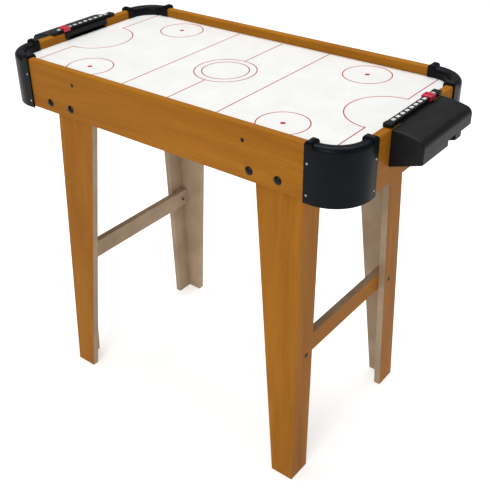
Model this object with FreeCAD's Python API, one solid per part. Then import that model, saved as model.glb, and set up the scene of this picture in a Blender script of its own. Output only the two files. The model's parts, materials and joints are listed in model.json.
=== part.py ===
import FreeCAD, Part
import math
import os

from FreeCAD import Placement, Rotation, Vector

# A small air hockey table. Z is up, X runs along the table, Y across it.
# The origin is on the floor, under the middle of the table.
# Right and left are the +X and -X ends. Near and far are the -Y and +Y sides.

# Table box, in millimetres.
TABLE_LENGTH = 700.0       # outer faces of the two end aprons
TABLE_WIDTH = 364.0        # outer faces of the two long aprons
RAIL_HEIGHT = 650.0        # floor to the top of the rails
APRON_HEIGHT = 85.0
APRON_THICK = 15.0
RAIL_ROUND = 4.0           # round along both top edges of each apron

# Playing surface and the air chamber under it.
FIELD_DEPTH = 15.0         # top of the rails down to the playing surface
SURFACE_THICK = 5.0
PLATE_CORNER = 30.0        # corner radius of the surface and of the bottom panel
HOLE_PITCH = 30.0
HOLE_RADIUS = 0.6
HOLE_MARGIN = 25.0         # least distance from an air hole to the surface's edge
BATTEN_HEIGHT = 24.0
BATTEN_WIDTH = 18.0
PANEL_THICK = 3.0

# Corner guards.
GUARD_CORNER = 57.0        # radius of the apron line round the corner
GUARD_LAP = 12.0           # length of apron held inside each arm of a guard
GUARD_WALL = 3.0           # outer wall, proud of the aprons
GUARD_INNER_WALL = 2.0
GUARD_DROP = 2.5           # guard below the aprons' lower edge
LIP_RISE = 1.5             # rolled lip above the rail top
LIP_ROUND = 8.0
LIP_CEILING = 6.0          # depth of the hollow's ceiling under the rail top
COLLAR_RISE = 6.0          # collars above the rail top
COLLAR_ROUND = 5.8
COLLAR_DEPTH = 16.0        # height of a collar's block

# Legs, each an L of two boards mitred along the heel. The heel is the outer corner of the L.
LEG_INSET = 91.0           # end apron's outer face to the heel, at the top of the leg
LEG_BLOCK = 20.0           # spacer block between the long apron and the top of the leg
LEG_SPREAD_X = 10.0        # outward lean of a leg from top to foot, along the table
LEG_SPREAD_Y = 28.0        # the same across the table
LEG_BOARD = 12.0
LEG_FOOT_WIDTH = 42.0
LEG_TOP_WIDTH = 90.0
LEG_END_WIDTH = 45.0
BLOCK_MARGIN = 10.0        # spacer block past the bolts
BLOCK_LIFT = 3.0           # spacer block above the apron's lower edge

# Stretchers between the legs at each end.
STRETCHER_LEVEL = 250.0    # height of the middle of a stretcher
STRETCHER_HEIGHT = 35.0
STRETCHER_THICK = 13.0

# Goals. A puck leaves through the mouth in the end rail and drops into the hood.
MOUTH_WIDTH = 88.0
MOUTH_HEIGHT = 7.0
LINER_WALL = 4.0
LINER_FLOOR = 2.0
FASCIA_WIDTH = 104.0
FASCIA_THICK = 2.0
FASCIA_CHAMFER = 6.0
HOOD_WIDTH = 152.0
HOOD_REACH = 50.0
HOOD_TOP_DROP = 1.0        # top of the hood below the rail top, at the rail
HOOD_CROWN_RADIUS = 150.0
HOOD_NOSE_RADIUS = 12.0    # rounding between crown and front
HOOD_BACK_DEPTH = 57.0     # lower back edge below the rail top
HOOD_FRONT_LIFT = 16.0     # lower front edge above the lower back edge
HOOD_STEP = 8.0            # shallow end of the front lip above the deep part
HOOD_SHALLOW = 34.0        # length of the shallow end
HOOD_WALL = 2.0
HOOD_END_ROUND = 3.0
NOTCH_WIDTH = 24.0         # finger notch in the lip and floor of the hood
NOTCH_OFFSET = 13.0
NOTCH_DEPTH = 26.0         # notch from the front of the hood towards the rail
NOTCH_RISE = 9.0           # top of the notch above the deep lip

# Score bars and their sliders.
BAR_LENGTH = HOOD_WIDTH
BAR_HEIGHT = 6.0
BAR_END = 9.5
BAR_BASE = 1.5             # thickness of the bar's foot
BAR_FOOT_WIDTH = 13.0
BAR_STEM_WIDTH = 8.0
BAR_STEM_HEIGHT = 2.0
BAR_HEAD_WIDTH = 11.0
TILE_COUNT = 10
TILE_PITCH = 13.0
TILE_LENGTH = 7.0          # along the bar
TILE_WIDTH = 5.0
TILE_THICK = 0.6
SLIDER_LENGTH = 15.0
SLIDER_WALL = 2.2
SLIDER_RIB = 2.0
SLIDER_REST_STEP = 3.5     # slider's rest place, in tile pitches from the middle

# Blower under the bottom panel.
FAN_SIZE = 80.0
FAN_DEPTH = 25.0
FAN_BORE = 37.0
FAN_SCREW_OFFSET = 35.75
FAN_CORNER = 4.0
FAN_WEB = 3.0              # thickness of the spokes and the motor plate
FAN_SPOKE_WIDTH = 5.0
FAN_SPOKES = 3
MOTOR_RADIUS = 16.0
BEARING_TUBE_RADIUS = 4.5
BEARING_TUBE_HEIGHT = 13.0
BUSH_RADIUS = 2.5
SHAFT_RADIUS = 1.5
STATOR_RADIUS = 13.2
STATOR_HEIGHT = 9.0
HUB_FLOAT = 0.6            # hub above the motor plate
HUB_HEADROOM = 3.0         # hub below the panel
HUB_RADIUS = 17.0
HUB_WALL = 1.8
HUB_TOP = 2.5
MAGNET_THICK = 1.2
BLADE_COUNT = 7
BLADE_THICK = 1.4
BLADE_CHORD = 19.0
BLADE_PITCH_ANGLE = 38.0
BLADE_GAP = 1.5            # blade tips to the bore
GRILLE_THICK = 2.0
GRILLE_RINGS = 3
GRILLE_BAR = 2.4
GRILLE_DISC = 7.0

# Switch, inlet and leads on the far apron.
SWITCH_X = 66.0
INLET_X = 30.0
POWER_LEVEL = 588.0
BEZEL_WIDTH = 27.0
BEZEL_HEIGHT = 17.0
BEZEL_PROUD = 1.2
SWITCH_WIDTH = 21.0
SWITCH_HEIGHT = 13.0
SWITCH_BEHIND = 6.0        # switch body behind the apron
ROCKER_WIDTH = 17.0
ROCKER_HEIGHT = 9.0
ROCKER_ANGLE = 8.0         # slope of each half of the rocker
ROCKER_DEPTH = 5.0
ROCKER_PIN_RADIUS = 1.0
INLET_RADIUS = 6.0
INLET_FLANGE_RADIUS = 8.0
INLET_BORE = 2.8
INLET_PIN_RADIUS = 1.0
LEAD_RADIUS = 1.5
LEAD_BEND = 12.0
LEAD_LEVEL_RUN = 40.0      # level run behind the switch and the inlet
LEAD_RISE_RUN = 40.0       # length over which a lead rises to the panel
LEAD_ENTRY_Y = -10.0       # where the switch lead enters the blower's side
CLIP_WALL = 1.2
CLIP_LENGTH = 6.0
CLIP_Y = 60.0              # clips that hold both leads
CLIP_LAST_Y = 12.0         # second clip of the switch lead

# Fasteners.
BOLT_X_OUTER = 237.0
BOLT_X_INNER = 187.0
BOLT_DROP = 69.0           # leg bolts below the rail top
BOLT_RADIUS = 3.0
BOLT_HEAD_RADIUS = 7.0
BOLT_HEAD_HEIGHT = 3.5
NUT_FLATS = 10.0
NUT_HEIGHT = 5.0
WASHER_RADIUS = 7.5
WASHER_SPOT_RADIUS = 8.0   # level spot under a washer, in the leaning board
WASHER_SPOT_DEPTH = 0.3    # least depth of the spot
WASHER_THICK = 1.5
BOLT_TAIL = 2.0            # bolt past its nut
STRETCHER_BOLT_RADIUS = 2.0
STRETCHER_BOLT_HEAD = 5.0
STRETCHER_NUT_FLATS = 7.0
STRETCHER_NUT_HEIGHT = 3.2
GUARD_SCREW_EDGE = 5.0
GUARD_SCREW_UPPER = 27.0   # upper guard screws below the rail top
GUARD_SCREW_LOWER = 75.0
GUARD_SCREW_HEAD = 2.0
GUARD_SCREW_RADIUS = 1.3
GUARD_SCREW_LENGTH = 13.0
SMALL_HEAD_HEIGHT = 1.2
BATTEN_SCREW_X = 176.0
BATTEN_SCREW_DROP = 24.0
WOOD_SCREW_RADIUS = 1.6
WOOD_SCREW_HEAD = 3.4
WOOD_SCREW_SINK = 1.8      # depth of a countersunk head
BATTEN_SCREW_LENGTH = 26.0
BAR_SCREW_LENGTH = 20.0
PANEL_SCREW_LENGTH = 14.0
PANEL_SCREW_STEP = 90.0
HOOD_SCREW_OFFSET = 62.0
HOOD_SCREW_DROP = 36.0
HOOD_BOSS_RADIUS = 4.0
HOOD_BOSS_LENGTH = 8.0
FAN_SCREW_RADIUS = 2.0
FAN_SCREW_HEAD = 3.8

# Clearances.
SEAT = 0.3                 # between neighbours that are set against each other
FIT = 0.05                 # radial, round a pin, screw or shaft
BOLT_PLAY = 0.25           # radial, round a bolt that passes through a board
GLIDE = 0.3                # round a slider on its bar

# Places that follow from the sizes.
HALF_LENGTH = TABLE_LENGTH / 2
HALF_WIDTH = TABLE_WIDTH / 2
INNER_X = HALF_LENGTH - APRON_THICK
INNER_Y = HALF_WIDTH - APRON_THICK
APRON_BOTTOM = RAIL_HEIGHT - APRON_HEIGHT
SURFACE_TOP = RAIL_HEIGHT - FIELD_DEPTH
SURFACE_BOTTOM = SURFACE_TOP - SURFACE_THICK
PANEL_TOP = SURFACE_BOTTOM - BATTEN_HEIGHT
PANEL_BOTTOM = PANEL_TOP - PANEL_THICK
CORNER_X = HALF_LENGTH - GUARD_CORNER
CORNER_Y = HALF_WIDTH - GUARD_CORNER
GUARD_OUTER = GUARD_CORNER + GUARD_WALL
GUARD_HOLLOW = GUARD_CORNER - APRON_THICK
GUARD_INNER = GUARD_HOLLOW - GUARD_INNER_WALL
LEG_HEEL_X = HALF_LENGTH - LEG_INSET
LEG_HEEL_Y = INNER_Y - LEG_BLOCK
LEG_TOP = PANEL_BOTTOM - SEAT
BOLT_LEVEL = RAIL_HEIGHT - BOLT_DROP
RAIL_MIDDLE = HALF_LENGTH - APRON_THICK / 2
MOUTH_TOP = SURFACE_TOP + MOUTH_HEIGHT
GOAL_NOTCH = MOUTH_WIDTH / 2 + LINER_WALL
BAR_TOP = RAIL_HEIGHT + BAR_HEIGHT
HEAD_BOTTOM = RAIL_HEIGHT + BAR_BASE + BAR_STEM_HEIGHT
FAN_TOP = PANEL_BOTTOM
FAN_BOTTOM = FAN_TOP - FAN_DEPTH
MOTOR_PLATE_TOP = FAN_BOTTOM + FAN_WEB
HUB_BOTTOM = MOTOR_PLATE_TOP + HUB_FLOAT
HUB_UPPER = FAN_TOP - HUB_HEADROOM
HUB_ROOF = HUB_UPPER - HUB_TOP
HOOD_SCREW_LEVEL = RAIL_HEIGHT - HOOD_SCREW_DROP
BATTEN_SCREW_LEVEL = RAIL_HEIGHT - BATTEN_SCREW_DROP
BATTEN_END_X = CORNER_X
SWITCH_BACK = INNER_Y - SWITCH_BEHIND
LEAD_LEVEL = PANEL_BOTTOM - CLIP_WALL - LEAD_RADIUS - FIT

UP = Vector(0, 0, 1)
ENDS = (("right", 1), ("left", -1))
SIDES = (("near", -1), ("far", 1))


def box(x0, x1, y0, y1, z0, z1):
    """Block between two corners."""
    return Part.makeBox(x1 - x0, y1 - y0, z1 - z0, Vector(x0, y0, z0))


def rod(x, y, z, direction, radius, length):
    """Cylinder that starts at a point and runs along a direction."""
    return Part.makeCylinder(radius, length, Vector(x, y, z), Vector(*direction))


def upright(x, y, z0, z1, radius):
    """Cylinder that stands between two heights."""
    return Part.makeCylinder(radius, z1 - z0, Vector(x, y, z0), UP)


def prism(points, run):
    """Closed outline of corners, drawn out along a vector."""
    corners = [Vector(*point) for point in points]
    return Part.Face(Part.makePolygon(corners + corners[:1])).extrude(Vector(*run))


def plate(half_x, half_y, z0, z1, corner):
    """Flat plate about the origin, with round corners."""
    blank = box(-half_x, half_x, -half_y, half_y, z0, z1)
    edges = [edge for edge in blank.Edges if is_along(edge, UP)]
    return blank.makeFillet(corner, edges)


def is_along(edge, direction):
    """True for a straight edge that lies along a direction."""
    run = edge.lastVertex().Point.sub(edge.firstVertex().Point)
    return run.Length > 0 and abs(abs(run.dot(direction)) - run.Length) < 1e-6


def is_level(edge, z):
    """True for an edge that lies in the level plane at z."""
    bounds = edge.BoundBox
    return abs(bounds.ZMin - z) < 1e-5 and abs(bounds.ZMax - z) < 1e-5


def quarter(shape, side_x, side_y):
    """Copy of a piece of the right far corner, for the corner with these signs."""
    if side_x < 0:
        shape = shape.mirror(Vector(0, 0, 0), Vector(1, 0, 0))
    if side_y < 0:
        shape = shape.mirror(Vector(0, 0, 0), Vector(0, 1, 0))
    return shape


def at_end(shape, side):
    """Copy of a piece of the right end, turned round to the end with this sign."""
    turned = shape.copy()
    if side < 0:
        turned.rotate(Vector(0, 0, 0), UP, 180)
    return turned


def fastener(x, y, z, outward, head_radius, head_height, radius, length):
    """Domed screw or bolt. The head sits on the point and faces outward."""
    sphere = (head_radius ** 2 + head_height ** 2) / (2 * head_height)
    ball = Part.makeSphere(sphere, Vector(0, 0, head_height - sphere))
    cap = ball.common(Part.makeCylinder(head_radius * 2, head_height))
    shank = Part.makeCylinder(radius, length, Vector(0, 0, -length))
    return placed(cap.fuse(shank), x, y, z, outward)


def flat_screw(x, y, z, outward, head_radius, sink, radius, length):
    """Countersunk screw whose head is flush with the point and faces outward."""
    cone = Part.makeCone(radius, head_radius, sink, Vector(0, 0, -sink))
    shank = Part.makeCylinder(radius, length - sink, Vector(0, 0, -length))
    return placed(cone.fuse(shank), x, y, z, outward)


def flat_seat(x, y, z, outward, head_radius, sink, radius, length):
    """Countersunk hole that takes a flat screw with the fitting clearance."""
    return flat_screw(x, y, z, outward, head_radius + FIT, sink + FIT, radius + FIT, length + FIT)


def placed(shape, x, y, z, outward):
    """Piece made along Z, moved to a point and turned to face outward."""
    shape.Placement = Placement(Vector(x, y, z), Rotation(UP, Vector(*outward)))
    return shape


def nut(x, y, z, outward, flats, height, bore):
    """Hexagon nut that sits on the point."""
    radius = flats / math.sqrt(3)
    corners = []
    for index in range(6):
        angle = math.radians(60 * index)
        corners.append((radius * math.cos(angle), radius * math.sin(angle), 0))
    blank = prism(corners, (0, 0, height))
    return placed(blank.cut(Part.makeCylinder(bore, height)), x, y, z, outward)


def corner_band(outer, inner, z0, z1):
    """Wall round the right far corner, with a straight arm at each end."""
    end_x = CORNER_X - GUARD_LAP
    end_y = CORNER_Y - GUARD_LAP
    diagonal = math.sqrt(0.5)

    def ring_arc(radius):
        start = Vector(CORNER_X, CORNER_Y + radius, z0)
        middle = Vector(CORNER_X + radius * diagonal, CORNER_Y + radius * diagonal, z0)
        stop = Vector(CORNER_X + radius, CORNER_Y, z0)
        return start, middle, stop

    out_start, out_middle, out_stop = ring_arc(outer)
    in_start, in_middle, in_stop = ring_arc(inner)
    edges = [
        Part.LineSegment(Vector(end_x, CORNER_Y + outer, z0), out_start).toShape(),
        Part.Arc(out_start, out_middle, out_stop).toShape(),
        Part.LineSegment(out_stop, Vector(CORNER_X + outer, end_y, z0)).toShape(),
        Part.LineSegment(
            Vector(CORNER_X + outer, end_y, z0), Vector(CORNER_X + inner, end_y, z0)
        ).toShape(),
        Part.LineSegment(Vector(CORNER_X + inner, end_y, z0), in_stop).toShape(),
        Part.Arc(in_stop, in_middle, in_start).toShape(),
        Part.LineSegment(in_start, Vector(end_x, CORNER_Y + inner, z0)).toShape(),
        Part.LineSegment(
            Vector(end_x, CORNER_Y + inner, z0), Vector(end_x, CORNER_Y + outer, z0)
        ).toShape(),
    ]
    return Part.Face(Part.Wire(edges)).extrude(Vector(0, 0, z1 - z0))


def collar(x0, x1, y0, y1):
    """Raised collar at the end of a guard's arm, with its top edges rounded."""
    top = RAIL_HEIGHT + COLLAR_RISE
    blank = box(x0, x1, y0, y1, top - COLLAR_DEPTH, top)
    edges = [edge for edge in blank.Edges if is_level(edge, top)]
    return blank.makeFillet(COLLAR_ROUND, edges)


def guard_screw_places():
    """Points and outward directions of the four screws of the right far guard."""
    along_x = CORNER_X - GUARD_LAP + GUARD_SCREW_EDGE
    along_y = CORNER_Y - GUARD_LAP + GUARD_SCREW_EDGE
    places = []
    for drop in (GUARD_SCREW_UPPER, GUARD_SCREW_LOWER):
        level = RAIL_HEIGHT - drop
        places.append((along_x, HALF_WIDTH + GUARD_WALL, level, (0, 1, 0)))
        places.append((HALF_LENGTH + GUARD_WALL, along_y, level, (1, 0, 0)))
    return places


def guard_screw_holes(grow):
    """Bores of the right far guard's four screws."""
    holes = []
    for x, y, z, outward in guard_screw_places():
        inward = tuple(-part for part in outward)
        holes.append(rod(x, y, z, inward, GUARD_SCREW_RADIUS + grow, GUARD_SCREW_LENGTH + grow))
    return Part.makeCompound(holes)


def corner_guard():
    """Moulded guard of the right far corner."""
    lip_top = RAIL_HEIGHT + LIP_RISE
    body = corner_band(GUARD_OUTER, GUARD_INNER, APRON_BOTTOM - GUARD_DROP, lip_top)
    body = body.makeFillet(LIP_ROUND, lip_edges(body, lip_top))
    end_x = CORNER_X - GUARD_LAP
    end_y = CORNER_Y - GUARD_LAP
    near_y = CORNER_Y + GUARD_INNER
    far_y = CORNER_Y + GUARD_OUTER
    near_x = CORNER_X + GUARD_INNER
    far_x = CORNER_X + GUARD_OUTER
    body = body.fuse(collar(end_x, CORNER_X, near_y, far_y))
    body = body.fuse(collar(near_x, far_x, end_y, CORNER_Y))
    below = APRON_BOTTOM - 2 * GUARD_DROP
    hollow = corner_band(GUARD_CORNER, GUARD_HOLLOW, below, RAIL_HEIGHT - LIP_CEILING)
    body = body.cut(hollow)
    body = body.cut(box(end_x, CORNER_X, INNER_Y, HALF_WIDTH, below, RAIL_HEIGHT + SEAT))
    body = body.cut(box(INNER_X, HALF_LENGTH, end_y, CORNER_Y, below, RAIL_HEIGHT + SEAT))
    under = corner_band(GUARD_HOLLOW, GUARD_INNER - GUARD_INNER_WALL, below, SURFACE_TOP)
    body = body.cut(under)
    return body.cut(guard_screw_holes(FIT)).removeSplitter()


def lip_edges(body, lip_top):
    """Long top edges of a guard, without the two short edges at its ends."""
    end_x = CORNER_X - GUARD_LAP
    end_y = CORNER_Y - GUARD_LAP
    edges = []
    for edge in body.Edges:
        bounds = edge.BoundBox
        at_arm_end = abs(bounds.XMax - end_x) < 1e-5 or abs(bounds.YMax - end_y) < 1e-5
        if is_level(edge, lip_top) and not at_arm_end:
            edges.append(edge)
    return edges


def leg_bolt_places(side_x, side_y):
    """Places of the two bolts that hold one leg to its apron."""
    return [(side_x * x, side_y * HALF_WIDTH) for x in (BOLT_X_OUTER, BOLT_X_INNER)]


def rounded_rail(blank, direction):
    """Apron with both long top edges rounded."""
    edges = []
    for edge in blank.Edges:
        if is_along(edge, direction) and is_level(edge, RAIL_HEIGHT):
            edges.append(edge)
    return blank.makeFillet(RAIL_ROUND, edges)


def long_apron(side_y):
    """Near or far apron, with its bores for bolts and screws."""
    outer = side_y * HALF_WIDTH
    inner = side_y * INNER_Y
    blank = box(
        -CORNER_X, CORNER_X, min(outer, inner), max(outer, inner), APRON_BOTTOM, RAIL_HEIGHT
    )
    board = rounded_rail(blank, Vector(1, 0, 0))
    cuts = []
    for side_x in (1, -1):
        for x, y in leg_bolt_places(side_x, side_y):
            cuts.append(rod(x, y, BOLT_LEVEL, (0, -side_y, 0), BOLT_RADIUS + BOLT_PLAY, APRON_THICK))
        cuts.append(batten_screw(side_x, side_y, flat_seat))
        cuts.append(quarter(guard_screw_holes(FIT), side_x, side_y))
    if side_y > 0:
        cuts.append(switch_body(FIT))
        cuts.append(inlet_body(FIT))
    return board.cut(Part.makeCompound(cuts))


def batten_screw(side_x, side_y, maker):
    """Screw through a long apron into its batten, or its hole."""
    return maker(
        side_x * BATTEN_SCREW_X, side_y * HALF_WIDTH, BATTEN_SCREW_LEVEL, (0, side_y, 0),
        WOOD_SCREW_HEAD, WOOD_SCREW_SINK, WOOD_SCREW_RADIUS, BATTEN_SCREW_LENGTH
    )


def end_apron():
    """Right apron, with the notch of the goal."""
    blank = box(INNER_X, HALF_LENGTH, -CORNER_Y, CORNER_Y, APRON_BOTTOM, RAIL_HEIGHT)
    board = rounded_rail(blank, Vector(0, 1, 0))
    notch_floor = SURFACE_TOP - LINER_FLOOR
    cuts = [box(INNER_X, HALF_LENGTH, -GOAL_NOTCH, GOAL_NOTCH, notch_floor, RAIL_HEIGHT)]
    for side_y in (1, -1):
        cuts.append(quarter(guard_screw_holes(FIT), 1, side_y))
        cuts.append(hood_screw(side_y, FIT))
        cuts.append(bar_screw(side_y, flat_seat))
    return board.cut(Part.makeCompound(cuts))


def playing_surface():
    """Coated board with its grid of air holes."""
    half_x = INNER_X - SEAT
    half_y = INNER_Y - SEAT
    board = plate(half_x, half_y, SURFACE_BOTTOM, SURFACE_TOP, PLATE_CORNER)
    columns = int((half_x - HOLE_MARGIN) / HOLE_PITCH)
    rows = int((half_y - HOLE_MARGIN) / HOLE_PITCH)
    holes = []
    for column in range(-columns, columns + 1):
        for row in range(-rows, rows + 1):
            x = column * HOLE_PITCH
            y = row * HOLE_PITCH
            holes.append(upright(x, y, SURFACE_BOTTOM, SURFACE_TOP, HOLE_RADIUS))
    return board.cut(Part.makeCompound(holes))


def panel_screw_places():
    """Places of the screws that hold the bottom panel to the battens."""
    places = []
    for side in (1, -1):
        for step in (-1.5, -0.5, 0.5, 1.5):
            places.append((step * PANEL_SCREW_STEP, side * (INNER_Y - BATTEN_WIDTH / 2)))
        places.append((side * (INNER_X - BATTEN_WIDTH / 2), 0.0))
    return places


def panel_screws(maker):
    """Screws of the bottom panel, or their holes."""
    pieces = []
    for x, y in panel_screw_places():
        pieces.append(maker(
            x, y, PANEL_BOTTOM, (0, 0, -1),
            WOOD_SCREW_HEAD, WOOD_SCREW_SINK, WOOD_SCREW_RADIUS, PANEL_SCREW_LENGTH
        ))
    return pieces


def bottom_panel():
    """Thin floor of the air chamber, with the blower's opening."""
    panel = plate(INNER_X - SEAT, INNER_Y - SEAT, PANEL_BOTTOM, PANEL_TOP, PLATE_CORNER)
    cuts = [upright(0, 0, PANEL_BOTTOM, PANEL_TOP, FAN_BORE)]
    for x, y in fan_screw_places():
        cuts.append(upright(x, y, PANEL_BOTTOM, PANEL_TOP, FAN_SCREW_RADIUS + FIT))
    cuts.extend(panel_screws(flat_seat))
    return panel.cut(Part.makeCompound(cuts))


def long_batten(side_y):
    """Batten under the playing surface along one long apron."""
    outer = side_y * INNER_Y
    inner = side_y * (INNER_Y - BATTEN_WIDTH)
    bar = box(
        -BATTEN_END_X, BATTEN_END_X, min(outer, inner), max(outer, inner),
        PANEL_TOP, SURFACE_BOTTOM
    )
    cuts = panel_screws(flat_seat)
    for side_x in (1, -1):
        cuts.append(batten_screw(side_x, side_y, flat_seat))
    return bar.cut(Part.makeCompound(cuts))


def end_batten():
    """Batten under the playing surface along the right apron."""
    half = min(INNER_Y - BATTEN_WIDTH - SEAT, CORNER_Y)
    bar = box(INNER_X - BATTEN_WIDTH, INNER_X, -half, half, PANEL_TOP, SURFACE_BOTTOM)
    cuts = panel_screws(flat_seat)
    for side_y in (1, -1):
        cuts.append(hood_screw(side_y, FIT))
    return bar.cut(Part.makeCompound(cuts))


def heel_x(z):
    """Outer face of the right legs' end boards at a height."""
    return LEG_HEEL_X + LEG_SPREAD_X * (1 - z / LEG_TOP)


def heel_y(z):
    """Outer face of the far legs' side boards at a height."""
    return LEG_HEEL_Y + LEG_SPREAD_Y * (1 - z / LEG_TOP)


# Places on the leaning faces of the legs.
WASHER_Y = heel_y(BOLT_LEVEL - WASHER_SPOT_RADIUS) - LEG_BOARD + WASHER_SPOT_DEPTH
STRETCHER_BOLT_X = heel_x(STRETCHER_LEVEL - STRETCHER_BOLT_HEAD)
STRETCHER_BOLT_Y = heel_y(STRETCHER_LEVEL) - (LEG_BOARD + LEG_END_WIDTH) / 2


def mitre_wedge():
    """Space on the end board's side of the right far leg's mitre, leaning with the leg."""
    reach = LEG_END_WIDTH * 2
    x = heel_x(-reach)
    y = heel_y(-reach)
    top = LEG_TOP + reach
    return prism(
        [
            (x, y, -reach),
            (x - reach, y - reach, -reach),
            (x + reach, y - reach, -reach),
            (x + reach, y, -reach),
        ],
        (heel_x(top) - x, heel_y(top) - y, top + reach)
    )


def leg_bolt_bores():
    """Bores of the right far leg's two bolts through block and board."""
    bores = []
    for x, y in leg_bolt_places(1, 1):
        bores.append(rod(x, y, BOLT_LEVEL, (0, -1, 0), BOLT_RADIUS + BOLT_PLAY, HALF_WIDTH))
    return bores


def leg_side():
    """Wide tapered board of the right far leg, with a level spot for each washer."""
    outline = [
        (heel_x(0), heel_y(0), 0),
        (heel_x(0) - LEG_FOOT_WIDTH, heel_y(0), 0),
        (heel_x(LEG_TOP) - LEG_TOP_WIDTH, heel_y(LEG_TOP), LEG_TOP),
        (heel_x(LEG_TOP), heel_y(LEG_TOP), LEG_TOP),
    ]
    board = prism(outline, (0, -LEG_BOARD, 0)).cut(mitre_wedge())
    cuts = leg_bolt_bores()
    for x, y in leg_bolt_places(1, 1):
        cuts.append(rod(x, WASHER_Y, BOLT_LEVEL, (0, -1, 0), WASHER_SPOT_RADIUS, LEG_BOARD))
    return board.cut(Part.makeCompound(cuts))


def leg_end():
    """Narrow board of the right far leg, facing the end of the table."""
    outline = [
        (heel_x(0), heel_y(0), 0),
        (heel_x(0), heel_y(0) - LEG_END_WIDTH, 0),
        (heel_x(LEG_TOP), heel_y(LEG_TOP) - LEG_END_WIDTH, LEG_TOP),
        (heel_x(LEG_TOP), heel_y(LEG_TOP), LEG_TOP),
    ]
    board = prism(outline, (-LEG_BOARD, 0, 0)).common(mitre_wedge())
    return board.cut(stretcher_bore())


def leg_block():
    """Spacer block between the far apron and the right far leg, wedged to the leg's lean."""
    low = APRON_BOTTOM + BLOCK_LIFT
    start = BOLT_X_INNER - BLOCK_MARGIN
    outline = [
        (start, INNER_Y, low),
        (start, INNER_Y, LEG_TOP),
        (start, heel_y(LEG_TOP), LEG_TOP),
        (start, heel_y(low), low),
    ]
    block = prism(outline, (BOLT_X_OUTER + BLOCK_MARGIN - start, 0, 0))
    return block.cut(Part.makeCompound(leg_bolt_bores()))


def stretcher_bore():
    """Hole of the right far stretcher bolt."""
    reach = LEG_BOARD + STRETCHER_THICK + BOLT_TAIL
    radius = STRETCHER_BOLT_RADIUS + BOLT_PLAY
    return rod(STRETCHER_BOLT_X, STRETCHER_BOLT_Y, STRETCHER_LEVEL, (-1, 0, 0), radius, reach)


def stretcher():
    """Board between the two right legs, leaning with them and cut to fit between their boards."""
    low = STRETCHER_LEVEL - STRETCHER_HEIGHT / 2
    high = low + STRETCHER_HEIGHT
    half_low = heel_y(low) - LEG_BOARD - SEAT
    half_high = heel_y(high) - LEG_BOARD - SEAT
    low_x = heel_x(low) - LEG_BOARD
    high_x = heel_x(high) - LEG_BOARD
    section = [
        (low_x, -half_low, low),
        (high_x, -half_low, high),
        (high_x - STRETCHER_THICK, -half_low, high),
        (low_x - STRETCHER_THICK, -half_low, low),
    ]
    front = [
        (0, -half_low, low),
        (0, half_low, low),
        (0, half_high, high),
        (0, -half_high, high),
    ]
    board = prism(section, (0, 2 * half_low, 0)).common(prism(front, (HALF_LENGTH, 0, 0)))
    for side_y in (1, -1):
        board = board.cut(quarter(stretcher_bore(), 1, side_y))
    return board


def hood_profile(lift, inset):
    """Section of the goal hood across the rail, drawn in by an inset."""
    back = HALF_LENGTH + inset
    front = HALF_LENGTH + HOOD_REACH - inset
    top = RAIL_HEIGHT - HOOD_TOP_DROP - inset
    crown_radius = HOOD_CROWN_RADIUS - inset
    nose_radius = HOOD_NOSE_RADIUS - inset
    spread = crown_radius - nose_radius
    run = front - nose_radius - HALF_LENGTH
    crown_level = top - crown_radius
    nose_level = crown_level + math.sqrt(spread ** 2 - run ** 2)
    lean = math.asin(run / spread)
    back_lean = math.asin(inset / crown_radius)

    def crown_point(angle):
        x = HALF_LENGTH + crown_radius * math.sin(angle)
        return Vector(x, 0, crown_level + crown_radius * math.cos(angle))

    def nose_point(angle):
        x = front - nose_radius + nose_radius * math.sin(angle)
        return Vector(x, 0, nose_level + nose_radius * math.cos(angle))

    back_top = crown_point(back_lean)
    crown = crown_point((back_lean + lean) / 2)
    meeting = crown_point(lean)
    nose = nose_point((lean + math.pi / 2) / 2)
    nose_low = Vector(front, 0, nose_level)
    back_low = RAIL_HEIGHT - HOOD_BACK_DEPTH + inset
    lip = Vector(front, 0, back_low + HOOD_FRONT_LIFT + lift)
    heel = Vector(back, 0, back_low)
    edges = [
        Part.Arc(back_top, crown, meeting).toShape(),
        Part.Arc(meeting, nose, nose_low).toShape(),
        Part.LineSegment(nose_low, lip).toShape(),
        Part.LineSegment(lip, heel).toShape(),
        Part.LineSegment(heel, back_top).toShape(),
    ]
    return Part.Face(Part.Wire(edges))


def hood_block(lift, inset, y0, y1):
    """Length of the hood's section, along the rail."""
    block = hood_profile(lift, inset).extrude(Vector(0, y1 - y0, 0))
    block.translate(Vector(0, y0, 0))
    return block


def rounded_hood_end(block, y, lift):
    """Length of the hood with the upper edges of one end face rounded."""
    lip = RAIL_HEIGHT - HOOD_BACK_DEPTH + HOOD_FRONT_LIFT + lift
    edges = []
    for edge in block.Edges:
        bounds = edge.BoundBox
        on_end = abs(bounds.YMin - y) < 1e-5 and abs(bounds.YMax - y) < 1e-5
        if on_end and bounds.ZMax > lip + 1e-3 and bounds.XMax > HALF_LENGTH + 1e-3:
            edges.append(edge)
    return block.makeFillet(HOOD_END_ROUND, edges)


def hood_screw(side_y, grow):
    """Shank space of one screw that holds the right hood."""
    start = INNER_X - BATTEN_WIDTH
    reach = BATTEN_WIDTH + APRON_THICK + HOOD_WALL + HOOD_BOSS_LENGTH / 2
    radius = WOOD_SCREW_RADIUS + grow
    return rod(start, side_y * HOOD_SCREW_OFFSET, HOOD_SCREW_LEVEL, (1, 0, 0), radius, reach + grow)


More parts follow.
